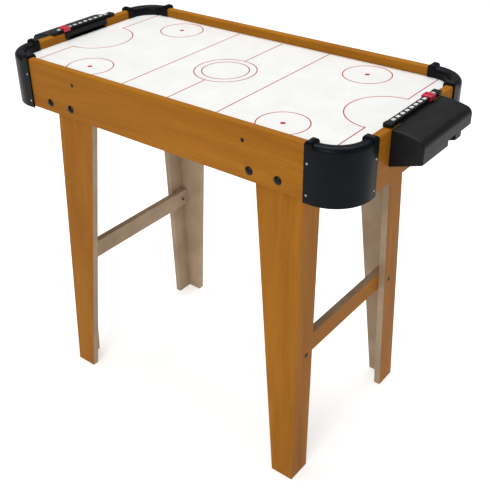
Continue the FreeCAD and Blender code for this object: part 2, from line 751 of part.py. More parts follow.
def goal_hood():
    """Hollow hood on the right apron that catches the puck."""
    half = HOOD_WIDTH / 2
    step = half - HOOD_SHALLOW
    outer = rounded_hood_end(hood_block(0, 0, -half, step), -half, 0)
    shallow = hood_block(HOOD_STEP, 0, step, half)
    outer = outer.fuse(rounded_hood_end(shallow, half, HOOD_STEP))
    inner = hood_block(HOOD_STEP, HOOD_WALL, -half + HOOD_WALL, half - HOOD_WALL)
    inner = inner.fuse(hood_block(0, HOOD_WALL, -half + HOOD_WALL, step - HOOD_WALL))
    shell = outer.cut(inner)
    for side_y in (1, -1):
        shell = shell.fuse(rod(
            HALF_LENGTH + HOOD_WALL, side_y * HOOD_SCREW_OFFSET, HOOD_SCREW_LEVEL,
            (1, 0, 0), HOOD_BOSS_RADIUS, HOOD_BOSS_LENGTH
        ))
    cuts = [hood_screw(1, FIT), hood_screw(-1, FIT), hood_notch()]
    window_floor = SURFACE_TOP - LINER_FLOOR
    cuts.append(box(
        HALF_LENGTH, HALF_LENGTH + HOOD_WALL, -MOUTH_WIDTH / 2, MOUTH_WIDTH / 2,
        window_floor, min(MOUTH_TOP, RAIL_HEIGHT - HOOD_TOP_DROP - HOOD_WALL)
    ))
    return shell.cut(Part.makeCompound(cuts)).removeSplitter()


def hood_notch():
    """Finger notch through the hood's front lip and floor."""
    front = HALF_LENGTH + HOOD_REACH
    level = RAIL_HEIGHT - HOOD_BACK_DEPTH + HOOD_FRONT_LIFT + NOTCH_RISE
    y0 = NOTCH_OFFSET - NOTCH_WIDTH / 2
    return box(
        front - NOTCH_DEPTH, front + HOOD_WALL, y0, y0 + NOTCH_WIDTH,
        APRON_BOTTOM, level
    )


def goal_liner():
    """Black lining of the right goal mouth, with its fascia over the field."""
    half = GOAL_NOTCH - SEAT / 2
    floor = SURFACE_TOP - LINER_FLOOR + SEAT / 2
    sleeve = box(INNER_X, HALF_LENGTH, -half, half, floor, RAIL_HEIGHT)
    wide = FASCIA_WIDTH / 2
    face = INNER_X - FASCIA_THICK
    outline = [
        (face, -wide, RAIL_HEIGHT),
        (face, -wide, SURFACE_TOP + FASCIA_CHAMFER),
        (face, -wide + FASCIA_CHAMFER, SURFACE_TOP),
        (face, wide - FASCIA_CHAMFER, SURFACE_TOP),
        (face, wide, SURFACE_TOP + FASCIA_CHAMFER),
        (face, wide, RAIL_HEIGHT),
    ]
    fascia = prism(outline, (FASCIA_THICK, 0, 0))
    mouth = box(
        face, HALF_LENGTH, -MOUTH_WIDTH / 2, MOUTH_WIDTH / 2, SURFACE_TOP, MOUTH_TOP
    )
    return sleeve.fuse(fascia).cut(mouth).removeSplitter()


def bar_block(width, y_half, z0, z1):
    """Block on the middle line of the right rail."""
    return box(RAIL_MIDDLE - width / 2, RAIL_MIDDLE + width / 2, -y_half, y_half, z0, z1)


def bar_screw(side_y, maker):
    """Screw at one end of the right score bar, or its hole."""
    y = side_y * (BAR_LENGTH - BAR_END) / 2
    return maker(
        RAIL_MIDDLE, y, BAR_TOP, (0, 0, 1),
        WOOD_SCREW_HEAD, WOOD_SCREW_SINK, WOOD_SCREW_RADIUS, BAR_SCREW_LENGTH
    )


def score_bar():
    """Right score bar: foot, stem and head, with a block at each end."""
    half = BAR_LENGTH / 2
    run = half - BAR_END
    bar = bar_block(BAR_FOOT_WIDTH, half, RAIL_HEIGHT, BAR_TOP)
    head_side = (BAR_FOOT_WIDTH - BAR_HEAD_WIDTH) / 2
    stem_side = (BAR_FOOT_WIDTH - BAR_STEM_WIDTH) / 2
    for sign in (1, -1):
        edge = RAIL_MIDDLE + sign * BAR_FOOT_WIDTH / 2
        for side, z0, z1 in (
            (head_side, HEAD_BOTTOM, BAR_TOP),
            (stem_side, RAIL_HEIGHT + BAR_BASE, HEAD_BOTTOM),
        ):
            inner = edge - sign * side
            bar = bar.cut(box(min(edge, inner), max(edge, inner), -run, run, z0, z1))
    return bar.cut(Part.makeCompound([bar_screw(1, flat_seat), bar_screw(-1, flat_seat)]))


def score_tiles():
    """Number tiles on the right score bar."""
    tiles = []
    half_x = TILE_WIDTH / 2
    half_y = TILE_LENGTH / 2
    for index in range(TILE_COUNT):
        y = (index - (TILE_COUNT - 1) / 2) * TILE_PITCH
        tiles.append(box(
            RAIL_MIDDLE - half_x, RAIL_MIDDLE + half_x, y - half_y, y + half_y,
            BAR_TOP, BAR_TOP + TILE_THICK
        ))
    return Part.makeCompound(tiles)


def score_slider():
    """Saddle that hooks round the head of the right score bar."""
    cavity_top = BAR_TOP + TILE_THICK + GLIDE
    cavity_half = BAR_HEAD_WIDTH / 2 + GLIDE
    outer_half = cavity_half + SLIDER_WALL
    foot = RAIL_HEIGHT + BAR_BASE + GLIDE
    top = cavity_top + SLIDER_WALL
    half = SLIDER_LENGTH / 2

    def block(x_half, z0, z1):
        return box(RAIL_MIDDLE - x_half, RAIL_MIDDLE + x_half, -half, half, z0, z1)

    saddle = block(outer_half, foot, top)
    top_edges = [edge for edge in saddle.Edges if is_level(edge, top)]
    saddle = saddle.makeFillet(SLIDER_WALL / 2, top_edges)
    saddle = saddle.cut(block(cavity_half, HEAD_BOTTOM - GLIDE, cavity_top))
    saddle = saddle.cut(block(BAR_STEM_WIDTH / 2 + GLIDE, foot, HEAD_BOTTOM))
    rib = box(
        RAIL_MIDDLE - cavity_half, RAIL_MIDDLE + cavity_half,
        -SLIDER_RIB / 2, SLIDER_RIB / 2, cavity_top + SLIDER_WALL / 2, top + SLIDER_RIB / 2
    )
    saddle = saddle.fuse(rib).removeSplitter()
    saddle.translate(Vector(0, SLIDER_REST_STEP * TILE_PITCH, 0))
    return saddle


def fan_screw_places():
    """Corners of the blower where its screws pass."""
    offset = FAN_SCREW_OFFSET
    return [(x, y) for x in (offset, -offset) for y in (offset, -offset)]


def fan_frame():
    """Square frame of the blower with its spokes and bearing tube."""
    half = FAN_SIZE / 2
    frame = plate(half, half, FAN_BOTTOM, FAN_TOP, FAN_CORNER)
    frame = frame.cut(upright(0, 0, FAN_BOTTOM, FAN_TOP, FAN_BORE))
    for index in range(FAN_SPOKES):
        spoke = box(
            0, FAN_BORE + FAN_WEB / 2, -FAN_SPOKE_WIDTH / 2, FAN_SPOKE_WIDTH / 2,
            FAN_BOTTOM, MOTOR_PLATE_TOP
        )
        spoke.rotate(Vector(0, 0, 0), UP, 360 * (index + 0.5) / FAN_SPOKES)
        frame = frame.fuse(spoke)
    frame = frame.fuse(upright(0, 0, FAN_BOTTOM, MOTOR_PLATE_TOP, MOTOR_RADIUS))
    tube_top = MOTOR_PLATE_TOP + BEARING_TUBE_HEIGHT
    frame = frame.fuse(upright(0, 0, FAN_BOTTOM, tube_top, BEARING_TUBE_RADIUS))
    cuts = [upright(0, 0, MOTOR_PLATE_TOP - FAN_WEB / 2, tube_top, BUSH_RADIUS + FIT)]
    for x, y in fan_screw_places():
        cuts.append(upright(x, y, FAN_BOTTOM, FAN_TOP, FAN_SCREW_RADIUS + FIT))
    return frame.cut(Part.makeCompound(cuts)).removeSplitter()


def fan_bush():
    """Sleeve bearing in the blower's tube."""
    bottom = MOTOR_PLATE_TOP
    bush = upright(0, 0, bottom, bottom + BEARING_TUBE_HEIGHT, BUSH_RADIUS)
    return bush.cut(upright(0, 0, bottom, bottom + BEARING_TUBE_HEIGHT, SHAFT_RADIUS + FIT))


def fan_stator():
    """Motor winding block round the bearing tube."""
    bottom = MOTOR_PLATE_TOP
    ring = upright(0, 0, bottom, bottom + STATOR_HEIGHT, STATOR_RADIUS)
    return ring.cut(upright(0, 0, bottom, bottom + STATOR_HEIGHT, BEARING_TUBE_RADIUS + FIT))


def fan_shaft():
    """Shaft that carries the impeller in the bush."""
    return upright(0, 0, MOTOR_PLATE_TOP, HUB_UPPER, SHAFT_RADIUS)


def fan_magnet():
    """Magnet ring inside the impeller's hub."""
    outer = HUB_RADIUS - HUB_WALL - FIT
    ring = upright(0, 0, HUB_BOTTOM, HUB_BOTTOM + STATOR_HEIGHT, outer)
    return ring.cut(upright(0, 0, HUB_BOTTOM, HUB_BOTTOM + STATOR_HEIGHT, outer - MAGNET_THICK))


def fan_impeller():
    """Hub with slanted blades."""
    top = HUB_UPPER
    hub = upright(0, 0, HUB_BOTTOM, top, HUB_RADIUS)
    middle = (HUB_BOTTOM + top) / 2
    tip = FAN_BORE - BLADE_GAP
    sweep = upright(0, 0, HUB_BOTTOM, top, tip)
    for index in range(BLADE_COUNT):
        blade = box(
            HUB_RADIUS / 2, FAN_BORE, -BLADE_THICK / 2, BLADE_THICK / 2,
            -BLADE_CHORD / 2, BLADE_CHORD / 2
        )
        blade.rotate(Vector(0, 0, 0), Vector(1, 0, 0), 90 - BLADE_PITCH_ANGLE)
        blade.translate(Vector(0, 0, middle))
        blade.rotate(Vector(0, 0, 0), UP, 360 * index / BLADE_COUNT)
        hub = hub.fuse(blade.common(sweep))
    hub = hub.cut(upright(0, 0, HUB_BOTTOM, HUB_ROOF, HUB_RADIUS - HUB_WALL))
    return hub.cut(upright(0, 0, HUB_BOTTOM, top, SHAFT_RADIUS + FIT)).removeSplitter()


def fan_grille():
    """Flat guard of rings and two crossed bars under the blower."""
    bottom = FAN_BOTTOM - GRILLE_THICK
    half_bar = GRILLE_BAR / 2
    grille = upright(0, 0, bottom, FAN_BOTTOM, GRILLE_DISC)
    for index in range(GRILLE_RINGS):
        middle = FAN_BORE * (index + 1) / GRILLE_RINGS
        ring = upright(0, 0, bottom, FAN_BOTTOM, middle + half_bar)
        grille = grille.fuse(ring.cut(upright(0, 0, bottom, FAN_BOTTOM, middle - half_bar)))
    reach = FAN_SCREW_OFFSET * math.sqrt(2)
    for angle in (45, 135):
        bar = box(-reach, reach, -half_bar, half_bar, bottom, FAN_BOTTOM)
        bar.rotate(Vector(0, 0, 0), UP, angle)
        grille = grille.fuse(bar)
    for x, y in fan_screw_places():
        grille = grille.fuse(upright(x, y, bottom, FAN_BOTTOM, FAN_SCREW_HEAD))
    for x, y in fan_screw_places():
        grille = grille.cut(upright(x, y, bottom, FAN_BOTTOM, FAN_SCREW_RADIUS + FIT))
    return grille.removeSplitter()


def switch_body(grow):
    """Body of the switch through the far apron, or its hole."""
    half_x = SWITCH_WIDTH / 2 + grow
    half_z = SWITCH_HEIGHT / 2 + grow
    return box(
        SWITCH_X - half_x, SWITCH_X + half_x, SWITCH_BACK, HALF_WIDTH,
        POWER_LEVEL - half_z, POWER_LEVEL + half_z
    )


def rocker_pin(grow):
    """Pivot pin of the rocker, along Z, or its bore."""
    reach = ROCKER_HEIGHT / 2 + BEZEL_PROUD + grow
    y = HALF_WIDTH + BEZEL_PROUD - ROCKER_DEPTH / 2
    return upright(SWITCH_X, y, POWER_LEVEL - reach, POWER_LEVEL + reach, ROCKER_PIN_RADIUS + grow)


def switch_bezel():
    """Switch body and its bezel on the far apron."""
    face = HALF_WIDTH + BEZEL_PROUD
    bezel = box(
        SWITCH_X - BEZEL_WIDTH / 2, SWITCH_X + BEZEL_WIDTH / 2, HALF_WIDTH, face,
        POWER_LEVEL - BEZEL_HEIGHT / 2, POWER_LEVEL + BEZEL_HEIGHT / 2
    )
    half_x = ROCKER_WIDTH / 2 + SEAT
    half_z = ROCKER_HEIGHT / 2 + SEAT
    well = box(
        SWITCH_X - half_x, SWITCH_X + half_x, face - 2 * ROCKER_DEPTH, face,
        POWER_LEVEL - half_z, POWER_LEVEL + half_z
    )
    return switch_body(0).fuse(bezel).cut(well).cut(rocker_pin(FIT)).removeSplitter()


def switch_rocker():
    """Rocker with two slanted halves, at rest with its left half pressed in."""
    half = ROCKER_WIDTH / 2 - SEAT
    rise = half * math.tan(math.radians(ROCKER_ANGLE))
    face = HALF_WIDTH + BEZEL_PROUD
    low = POWER_LEVEL - ROCKER_HEIGHT / 2
    outline = [
        (-half, face + rise, low),
        (0, face, low),
        (half, face + rise, low),
        (half / 2, face - ROCKER_DEPTH, low),
        (-half / 2, face - ROCKER_DEPTH, low),
    ]
    rocker = prism(outline, (0, 0, ROCKER_HEIGHT))
    rocker.translate(Vector(SWITCH_X, -rise / 2, 0))
    rocker = rocker.fuse(rocker_pin(0)).removeSplitter()
    pivot = Vector(SWITCH_X, face - ROCKER_DEPTH / 2, POWER_LEVEL)
    rocker.rotate(pivot, UP, ROCKER_ANGLE)
    return rocker


def inlet_body(grow):
    """Barrel of the power inlet through the far apron, or its hole."""
    length = APRON_THICK + SWITCH_BEHIND
    return rod(INLET_X, SWITCH_BACK, POWER_LEVEL, (0, 1, 0), INLET_RADIUS + grow, length)


def power_inlet():
    """Low-voltage inlet with a round flange and a blind bore."""
    flange = rod(INLET_X, HALF_WIDTH, POWER_LEVEL, (0, 1, 0), INLET_FLANGE_RADIUS, BEZEL_PROUD)
    face = HALF_WIDTH + BEZEL_PROUD
    bore = rod(INLET_X, face, POWER_LEVEL, (0, -1, 0), INLET_BORE, APRON_THICK)
    return inlet_body(0).fuse(flange).cut(bore).removeSplitter()


def inlet_pin():
    """Contact pin in the middle of the inlet's bore."""
    floor = HALF_WIDTH + BEZEL_PROUD - APRON_THICK
    length = APRON_THICK - 2 * BEZEL_PROUD
    return rod(INLET_X, floor, POWER_LEVEL, (0, 1, 0), INLET_PIN_RADIUS, length)


def lead(points):
    """Insulated wire along straight runs that are joined by tangent arcs."""
    edges = []
    start = points[0]
    for before, corner, after in zip(points, points[1:], points[2:]):
        back = before.sub(corner).normalize()
        onward = after.sub(corner).normalize()
        turn = math.pi - back.getAngle(onward)
        trim = LEAD_BEND * math.tan(turn / 2)
        first = corner.add(Vector(back).multiply(trim))
        last = corner.add(Vector(onward).multiply(trim))
        bisector = back.add(onward).normalize()
        centre = corner.add(Vector(bisector).multiply(LEAD_BEND / math.cos(turn / 2)))
        middle = centre.sub(Vector(bisector).multiply(LEAD_BEND))
        edges.append(Part.LineSegment(start, first).toShape())
        edges.append(Part.Arc(first, middle, last).toShape())
        start = last
    edges.append(Part.LineSegment(start, points[-1]).toShape())
    path = Part.Wire(edges)
    run = points[1].sub(points[0])
    section = Part.Wire(Part.makeCircle(LEAD_RADIUS, points[0], run))
    return path.makePipeShell([section], True, False)


def lead_start(x):
    """First three points of a lead, from the back of a fitting up to the panel."""
    bend_y = SWITCH_BACK - LEAD_LEVEL_RUN
    return [
        Vector(x, SWITCH_BACK, POWER_LEVEL),
        Vector(x, bend_y, POWER_LEVEL),
        Vector(x, bend_y - LEAD_RISE_RUN, LEAD_LEVEL),
    ]


def fan_lead():
    """Lead from the inlet to the far side of the blower's frame."""
    return lead(lead_start(INLET_X) + [Vector(INLET_X, FAN_SIZE / 2, LEAD_LEVEL)])


def switch_lead():
    """Lead from the switch to the right side of the blower's frame."""
    corner = Vector(SWITCH_X, LEAD_ENTRY_Y, LEAD_LEVEL)
    return lead(lead_start(SWITCH_X) + [corner, Vector(FAN_SIZE / 2, LEAD_ENTRY_Y, LEAD_LEVEL)])


def lead_clips():
    """Clips under the panel that hold the two leads."""
    reach = LEAD_RADIUS + CLIP_WALL
    clips = []
    for x, y in ((INLET_X, CLIP_Y), (SWITCH_X, CLIP_Y), (SWITCH_X, CLIP_LAST_Y)):
        start = y - CLIP_LENGTH / 2
        block = box(
            x - reach, x + reach, start, start + CLIP_LENGTH, LEAD_LEVEL - reach, PANEL_BOTTOM
        )
        clips.append(block.cut(rod(
            x, start, LEAD_LEVEL, (0, 1, 0), LEAD_RADIUS + FIT, CLIP_LENGTH
        )))
    return clips


def leg_fasteners():
    """Bolts, washers and nuts that hold the four legs."""
    bolts = []
    washers = []
    nuts = []
    length = HALF_WIDTH - WASHER_Y + WASHER_THICK + NUT_HEIGHT + BOLT_TAIL
    for side_x in (1, -1):
        for side_y in (1, -1):
            for x, y in leg_bolt_places(side_x, side_y):
                bolts.append(fastener(
                    x, y, BOLT_LEVEL, (0, side_y, 0),
                    BOLT_HEAD_RADIUS, BOLT_HEAD_HEIGHT, BOLT_RADIUS, length
                ))
                seat_y = side_y * WASHER_Y
                inward = (0, -side_y, 0)
                washer = rod(x, seat_y, BOLT_LEVEL, inward, WASHER_RADIUS, WASHER_THICK)
                bore = rod(x, seat_y, BOLT_LEVEL, inward, BOLT_RADIUS + FIT, WASHER_THICK)
                washers.append(washer.cut(bore))
                nuts.append(nut(
                    x, side_y * (WASHER_Y - WASHER_THICK), BOLT_LEVEL, inward,
                    NUT_FLATS, NUT_HEIGHT, BOLT_RADIUS + FIT
                ))
    return bolts, washers, nuts


def stretcher_fasteners():
    """Bolts and nuts that hold the two stretchers."""
    bolts = []
    nuts = []
    nut_top = STRETCHER_LEVEL + STRETCHER_NUT_FLATS / math.sqrt(3)
    nut_x = heel_x(nut_top) - LEG_BOARD - STRETCHER_THICK
    length = STRETCHER_BOLT_X - nut_x + STRETCHER_NUT_HEIGHT + BOLT_TAIL / 2
    for side_x in (1, -1):
        for side_y in (1, -1):
            y = side_y * STRETCHER_BOLT_Y
            bolts.append(fastener(
                side_x * STRETCHER_BOLT_X, y, STRETCHER_LEVEL, (side_x, 0, 0),
                STRETCHER_BOLT_HEAD, SMALL_HEAD_HEIGHT, STRETCHER_BOLT_RADIUS, length
            ))
            nuts.append(nut(
                side_x * nut_x, y, STRETCHER_LEVEL, (-side_x, 0, 0),
                STRETCHER_NUT_FLATS, STRETCHER_NUT_HEIGHT, STRETCHER_BOLT_RADIUS + FIT
            ))
    return bolts, nuts


def guard_screws():
    """Small domed screws of the four guards."""
    screws = []
    for side_x in (1, -1):
        for side_y in (1, -1):
            for x, y, z, (out_x, out_y, out_z) in guard_screw_places():
                screws.append(fastener(
                    side_x * x, side_y * y, z, (side_x * out_x, side_y * out_y, out_z),
                    GUARD_SCREW_HEAD, SMALL_HEAD_HEIGHT, GUARD_SCREW_RADIUS, GUARD_SCREW_LENGTH
                ))
    return screws


def hood_screws():
    """Screws from inside the air chamber into the hoods' bosses."""
    start = INNER_X - BATTEN_WIDTH
    length = BATTEN_WIDTH + APRON_THICK + HOOD_WALL + HOOD_BOSS_LENGTH / 2
    screws = []
    for side_x in (1, -1):
        for side_y in (1, -1):
            screws.append(fastener(
                side_x * start, side_y * HOOD_SCREW_OFFSET, HOOD_SCREW_LEVEL, (-side_x, 0, 0),
                WOOD_SCREW_HEAD, SMALL_HEAD_HEIGHT, WOOD_SCREW_RADIUS, length
            ))
    return screws


def fan_screws():
    """Screws through the grille and the blower's corners into the panel."""
    length = GRILLE_THICK + FAN_DEPTH + PANEL_THICK
    screws = []
    for x, y in fan_screw_places():
        screws.append(fastener(
            x, y, FAN_BOTTOM - GRILLE_THICK, (0, 0, -1),
            FAN_SCREW_HEAD, SMALL_HEAD_HEIGHT, FAN_SCREW_RADIUS, length
        ))
    return screws


def make_table():
    """Every sub-part of the table, by name."""
    pieces = {"playing_surface": playing_surface(), "bottom_panel": bottom_panel()}
    for name, side_y in SIDES:
        pieces["apron_" + name] = long_apron(side_y)
        pieces["batten_" + name] = long_batten(side_y)
    for name, side_x in ENDS:
        pieces["apron_" + name] = at_end(end_apron(), side_x)
        pieces["batten_" + name] = at_end(end_batten(), side_x)
        pieces["stretcher_" + name] = at_end(stretcher(), side_x)
        pieces["goal_liner_" + name] = at_end(goal_liner(), side_x)
        pieces["goal_hood_" + name] = at_end(goal_hood(), side_x)
        pieces["score_bar_" + name] = at_end(score_bar(), side_x)
        pieces["score_tiles_" + name] = at_end(score_tiles(), side_x)
        pieces["score_slider_" + name] = at_end(score_slider(), side_x)
    guard = corner_guard()
    side_board = leg_side()
    end_board = leg_end()
    block = leg_block()
    blocks = []
    for end, side_x in ENDS:
        for side, side_y in SIDES:
            corner = end + "_" + side
            pieces["guard_" + corner] = quarter(guard, side_x, side_y)
            pieces["leg_side_" + corner] = quarter(side_board, side_x, side_y)
            pieces["leg_end_" + corner] = quarter(end_board, side_x, side_y)
            blocks.append(quarter(block, side_x, side_y))
    pieces["fan_frame"] = fan_frame()
    pieces["fan_bush"] = fan_bush()
    pieces["fan_stator"] = fan_stator()
    pieces["fan_shaft"] = fan_shaft()
    pieces["fan_magnet"] = fan_magnet()
    pieces["fan_impeller"] = fan_impeller()
    pieces["fan_grille"] = fan_grille()
    pieces["switch_bezel"] = switch_bezel()
    pieces["switch_rocker"] = switch_rocker()
    pieces["power_inlet"] = power_inlet()
    pieces["inlet_pin"] = inlet_pin()
    pieces["fan_lead"] = fan_lead()
    pieces["switch_lead"] = switch_lead()
    bolts, washers, nuts = leg_fasteners()
    stretcher_bolts, stretcher_nuts = stretcher_fasteners()
    batten_screws = []
    bar_screws = []
    for side_x in (1, -1):
        for side_y in (1, -1):
            batten_screws.append(batten_screw(side_x, side_y, flat_screw))
            bar_screws.append(at_end(bar_screw(side_y, flat_screw), side_x))
    groups = {
        "leg_blocks": blocks,
        "lead_clips": lead_clips(),
        "leg_bolts": bolts,
        "leg_washers": washers,
        "leg_nuts": nuts,
        "stretcher_bolts": stretcher_bolts,
        "stretcher_nuts": stretcher_nuts,
        "guard_screws": guard_screws(),
        "batten_screws": batten_screws,
        "score_bar_screws": bar_screws,
        "panel_screws": panel_screws(flat_screw),
        "hood_screws": hood_screws(),
        "fan_screws": fan_screws(),
    }
    for name, members in groups.items():
        pieces[name] = Part.makeCompound(members)
    return pieces


def main():
    """Write one file per sub-part."""
    os.makedirs("parts", exist_ok=True)
    for name, shape in sorted(make_table().items()):
        shape.exportStep("parts/" + name + ".step")
        print(name, len(shape.Solids), shape.isValid(), round(shape.Volume))


main()
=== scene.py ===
import json
import math

import bpy
from mathutils import Matrix, Vector


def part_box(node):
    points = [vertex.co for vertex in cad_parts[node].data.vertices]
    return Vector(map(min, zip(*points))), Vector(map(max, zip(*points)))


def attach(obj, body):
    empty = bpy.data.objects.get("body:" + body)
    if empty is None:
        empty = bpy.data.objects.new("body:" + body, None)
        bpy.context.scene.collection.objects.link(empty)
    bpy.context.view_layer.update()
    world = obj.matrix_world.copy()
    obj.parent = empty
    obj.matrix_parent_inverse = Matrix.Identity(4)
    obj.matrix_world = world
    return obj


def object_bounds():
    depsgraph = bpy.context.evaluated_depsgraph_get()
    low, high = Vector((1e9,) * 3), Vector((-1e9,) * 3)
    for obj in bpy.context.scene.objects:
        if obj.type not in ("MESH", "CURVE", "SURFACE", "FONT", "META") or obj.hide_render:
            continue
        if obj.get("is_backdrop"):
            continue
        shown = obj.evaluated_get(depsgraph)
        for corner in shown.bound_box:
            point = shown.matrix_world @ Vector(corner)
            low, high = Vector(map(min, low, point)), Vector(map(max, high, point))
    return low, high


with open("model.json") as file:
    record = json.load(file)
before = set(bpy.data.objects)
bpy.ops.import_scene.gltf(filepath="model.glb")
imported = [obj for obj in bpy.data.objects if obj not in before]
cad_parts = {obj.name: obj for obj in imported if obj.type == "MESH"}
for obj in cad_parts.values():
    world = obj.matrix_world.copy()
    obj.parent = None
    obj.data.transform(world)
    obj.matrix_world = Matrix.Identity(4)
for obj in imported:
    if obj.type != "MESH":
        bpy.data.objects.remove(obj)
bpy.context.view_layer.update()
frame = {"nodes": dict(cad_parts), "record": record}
nodes = frame["nodes"]

# Lengths are in metres. Z is up, X runs along the table and the near side is -Y.
MM = 0.001
IMAGE_SIDE = 490

ENDS = (("right", 1), ("left", -1))
SIDES = (("near", -1), ("far", 1))

OUTWARD_SHARE = 0.7        # least share of a face's direction that counts as outward
LAMINATE_SPECULAR = 0.07
SATIN_LOW = 0.44           # roughness of the laminate
SATIN_HIGH = 0.54
SATIN_MEAN = 0.49
RAW_ROUGHNESS = 0.85
FLOOR_GLOW = 0.50
WORLD_LIGHT = 0.30
RING_STEPS = 128           # steps of a whole ring
LEAST_STEPS = 24
DISC_SIDES = 32


# Node trees of the materials.

def node(tree, kind, inputs=None, **settings):
    """New node with its settings, and its inputs set or linked."""
    made = tree.nodes.new(kind)
    for key, value in settings.items():
        setattr(made, key, value)
    for key, value in (inputs or {}).items():
        if isinstance(value, bpy.types.NodeSocket):
            tree.links.new(value, made.inputs[key])
        else:
            made.inputs[key].default_value = value
    return made


def blank(name, roughness, metallic=0.0, specular=0.5):
    """Material with its tree and its shader."""
    material = bpy.data.materials.new(name)
    material.use_nodes = True
    tree = material.node_tree
    shader = tree.nodes["Principled BSDF"]
    shader.inputs["Roughness"].default_value = roughness
    shader.inputs["Metallic"].default_value = metallic
    shader.inputs["Specular IOR Level"].default_value = specular
    return material, tree, shader


def grain(tree, stretch, detail=3.0, distortion=0.0):
    """Noise over the object's own space, stretched by a number of cells per metre on each axis."""
    place = node(tree, "ShaderNodeTexCoord").outputs["Object"]
    moved = node(tree, "ShaderNodeMapping", {"Vector": place, "Scale": stretch})
    return node(tree, "ShaderNodeTexNoise", {
        "Vector": moved.outputs["Vector"], "Scale": 1.0, "Detail": detail, "Distortion": distortion
    }).outputs["Fac"]


def ramp(tree, factor, stops):
    """Colour ramp with these stops."""
    made = node(tree, "ShaderNodeValToRGB", {"Fac": factor})
    elements = made.color_ramp.elements
    while len(elements) < len(stops):
        elements.new(0.5)
    for element, (position, colour) in zip(elements, stops):
        element.position = position
        element.color = (*colour, 1.0)
    return made.outputs["Color"]


def mix(tree, factor, first, second, blend="MIX"):
    """Mix of two colours."""
    made = tree.nodes.new("ShaderNodeMix")
    made.data_type = "RGBA"
    made.blend_type = blend
    for index, value in ((0, factor), (6, first), (7, second)):
        if isinstance(value, bpy.types.NodeSocket):
            tree.links.new(value, made.inputs[index])
        elif index == 0:
            made.inputs[0].default_value = value
        else:
            made.inputs[index].default_value = (*value, 1.0)
    return made.outputs[2]


def spread(tree, factor, low, high):
    """Number between two limits that follows a factor."""
    made = node(tree, "ShaderNodeMapRange", {
        "Value": factor, "From Min": 0.25, "From Max": 0.75, "To Min": low, "To Max": high
    })
    return made.outputs["Result"]


def bump(tree, shader, height, distance, strength):
    """Fine relief on a shader."""
    made = node(tree, "ShaderNodeBump", {
        "Height": height, "Distance": distance, "Strength": strength
    })
    tree.links.new(made.outputs["Normal"], shader.inputs["Normal"])


def outward_mask(tree):
    """1 on the faces that look away from the middle of the table, along X or Y."""
    coordinates = node(tree, "ShaderNodeTexCoord")
    place = node(tree, "ShaderNodeSeparateXYZ", {"Vector": coordinates.outputs["Object"]})
    facing = node(tree, "ShaderNodeSeparateXYZ", {"Vector": coordinates.outputs["Normal"]})
    shares = []
    for axis in ("X", "Y"):
        side = node(tree, "ShaderNodeMath", {0: place.outputs[axis]}, operation="SIGN")
        share = node(
            tree, "ShaderNodeMath", {0: side.outputs[0], 1: facing.outputs[axis]},
            operation="MULTIPLY"
        )
        shares.append(share.outputs[0])
    best = node(tree, "ShaderNodeMath", {0: shares[0], 1: shares[1]}, operation="MAXIMUM")
    return node(
        tree, "ShaderNodeMath", {0: best.outputs[0], 1: OUTWARD_SHARE}, operation="GREATER_THAN"
    ).outputs[0]


def wood_colour(tree, along):
    """Honey laminate with its grain along an axis, 0 to 2."""
    def cells(run, across):
        return tuple(run if axis == along else across for axis in range(3))

    broad = grain(tree, cells(1.6, 17.0), 4.0, 0.7)
    figure = grain(tree, cells(7.0, 150.0), 3.0, 0.4)
    streak = grain(tree, cells(34.0, 1300.0), 2.0)
    tone = ramp(tree, broad, [(0.30, HONEY_DARK), (0.52, HONEY), (0.72, HONEY_LIGHT)])
    lines = ramp(tree, figure, [(0.36, (0.80, 0.74, 0.66)), (0.56, (1.0, 1.0, 1.0))])
    pores = ramp(tree, streak, [(0.34, (0.74, 0.66, 0.56)), (0.46, (1.0, 1.0, 1.0))])
    toned = mix(tree, 0.45, tone, lines, "MULTIPLY")
    return mix(tree, 0.42, toned, pores, "MULTIPLY"), figure, streak


def raw_colour(tree):
    """Raw fibreboard: pale, with fine fibres."""
    cloud = grain(tree, (22.0, 22.0, 22.0), 4.0)
    fibre = grain(tree, (900.0, 900.0, 900.0), 2.0)
    tone = ramp(tree, cloud, [(0.3, RAW_DARK), (0.7, RAW_LIGHT)])
    speck = ramp(tree, fibre, [(0.36, (0.80, 0.77, 0.73)), (0.6, (1.0, 1.0, 1.0))])
    return mix(tree, 0.6, tone, speck, "MULTIPLY"), fibre


def laminate(name, along, raw_inside):
    """Satin laminate. Inner faces and edges can be raw board."""
    material, tree, shader = blank(name, SATIN_MEAN, specular=LAMINATE_SPECULAR)
    colour, figure, streak = wood_colour(tree, along)
    roughness = spread(tree, figure, SATIN_LOW, SATIN_HIGH)
    if raw_inside:
        raw, _ = raw_colour(tree)
        mask = outward_mask(tree)
        colour = mix(tree, mask, raw, colour)
        roughness = node(tree, "ShaderNodeMapRange", {
            "Value": mask, "To Min": RAW_ROUGHNESS, "To Max": SATIN_MEAN
        }).outputs["Result"]
    tree.links.new(colour, shader.inputs["Base Color"])
    tree.links.new(roughness, shader.inputs["Roughness"])
    bump(tree, shader, streak, 0.0003, 0.12)
    return material


def raw_board(name):
    """Raw fibreboard all round."""
    material, tree, shader = blank(name, RAW_ROUGHNESS)
    colour, fibre = raw_colour(tree)
    tree.links.new(colour, shader.inputs["Base Color"])
    bump(tree, shader, fibre, 0.0004, 0.25)
    return material


def plastic(name, dark, light, low, high, cells, relief, specular=0.5):
    """Moulded plastic with a fine texture and slight variation of colour and gloss."""
    material, tree, shader = blank(name, low, specular=specular)
    cloud = grain(tree, (cells / 30, cells / 30, cells / 30), 4.0)
    pebble = grain(tree, (cells, cells, cells), 2.0)
    tree.links.new(ramp(tree, cloud, [(0.3, dark), (0.7, light)]), shader.inputs["Base Color"])
    tree.links.new(spread(tree, cloud, low, high), shader.inputs["Roughness"])
    bump(tree, shader, pebble, 0.0002, relief)
    return material


